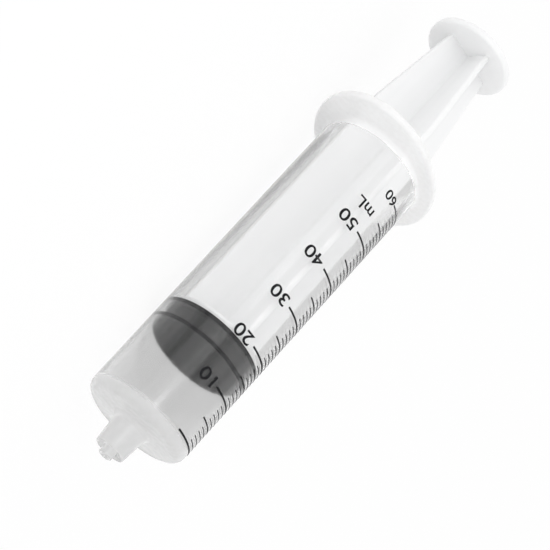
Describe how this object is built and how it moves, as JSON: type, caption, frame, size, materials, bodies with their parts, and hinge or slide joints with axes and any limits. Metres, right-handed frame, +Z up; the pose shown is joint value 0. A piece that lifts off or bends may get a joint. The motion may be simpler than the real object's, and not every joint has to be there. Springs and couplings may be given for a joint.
{
  "type": "luer lock syringe",
  "caption": "Three-piece wide-bore syringe with a luer lock tip, oval finger flange, printed volume scale, rubber stopper and cross-ribbed plunger rod.",
  "frame": {"origin": "centre of the luer tip's mouth, on the barrel's axis", "axes": "+X runs from the luer tip back to the thumb rest; the finger flange's ears lie along Y; +Z is up through the flange's narrow way, as the syringe lies on a table with its scale uppermost"},
  "size_m": [0.1634, 0.0544, 0.0412],
  "materials": {
    "barrel": "glossy translucent polypropylene",
    "stopper": "matte dark grey elastomer",
    "plunger_rod": "milky polypropylene"
  },
  "bodies": {
    "barrel": {"barrel": "barrel"},
    "stopper": {"stopper": "stopper"},
    "plunger_rod": {"plunger_rod": "plunger_rod"}
  },
  "joints": [
    {"name": "plunger_slide", "type": "slide", "parent": "barrel", "child": "stopper", "axis": [1, 0, 0], "range_m": [-0.0212, 0.0697]},
    {"name": "rod_turn", "type": "hinge", "parent": "stopper", "child": "plunger_rod", "pos_m": [0.0396, 0, 0], "axis": [1, 0, 0], "continuous": true}
  ]
}
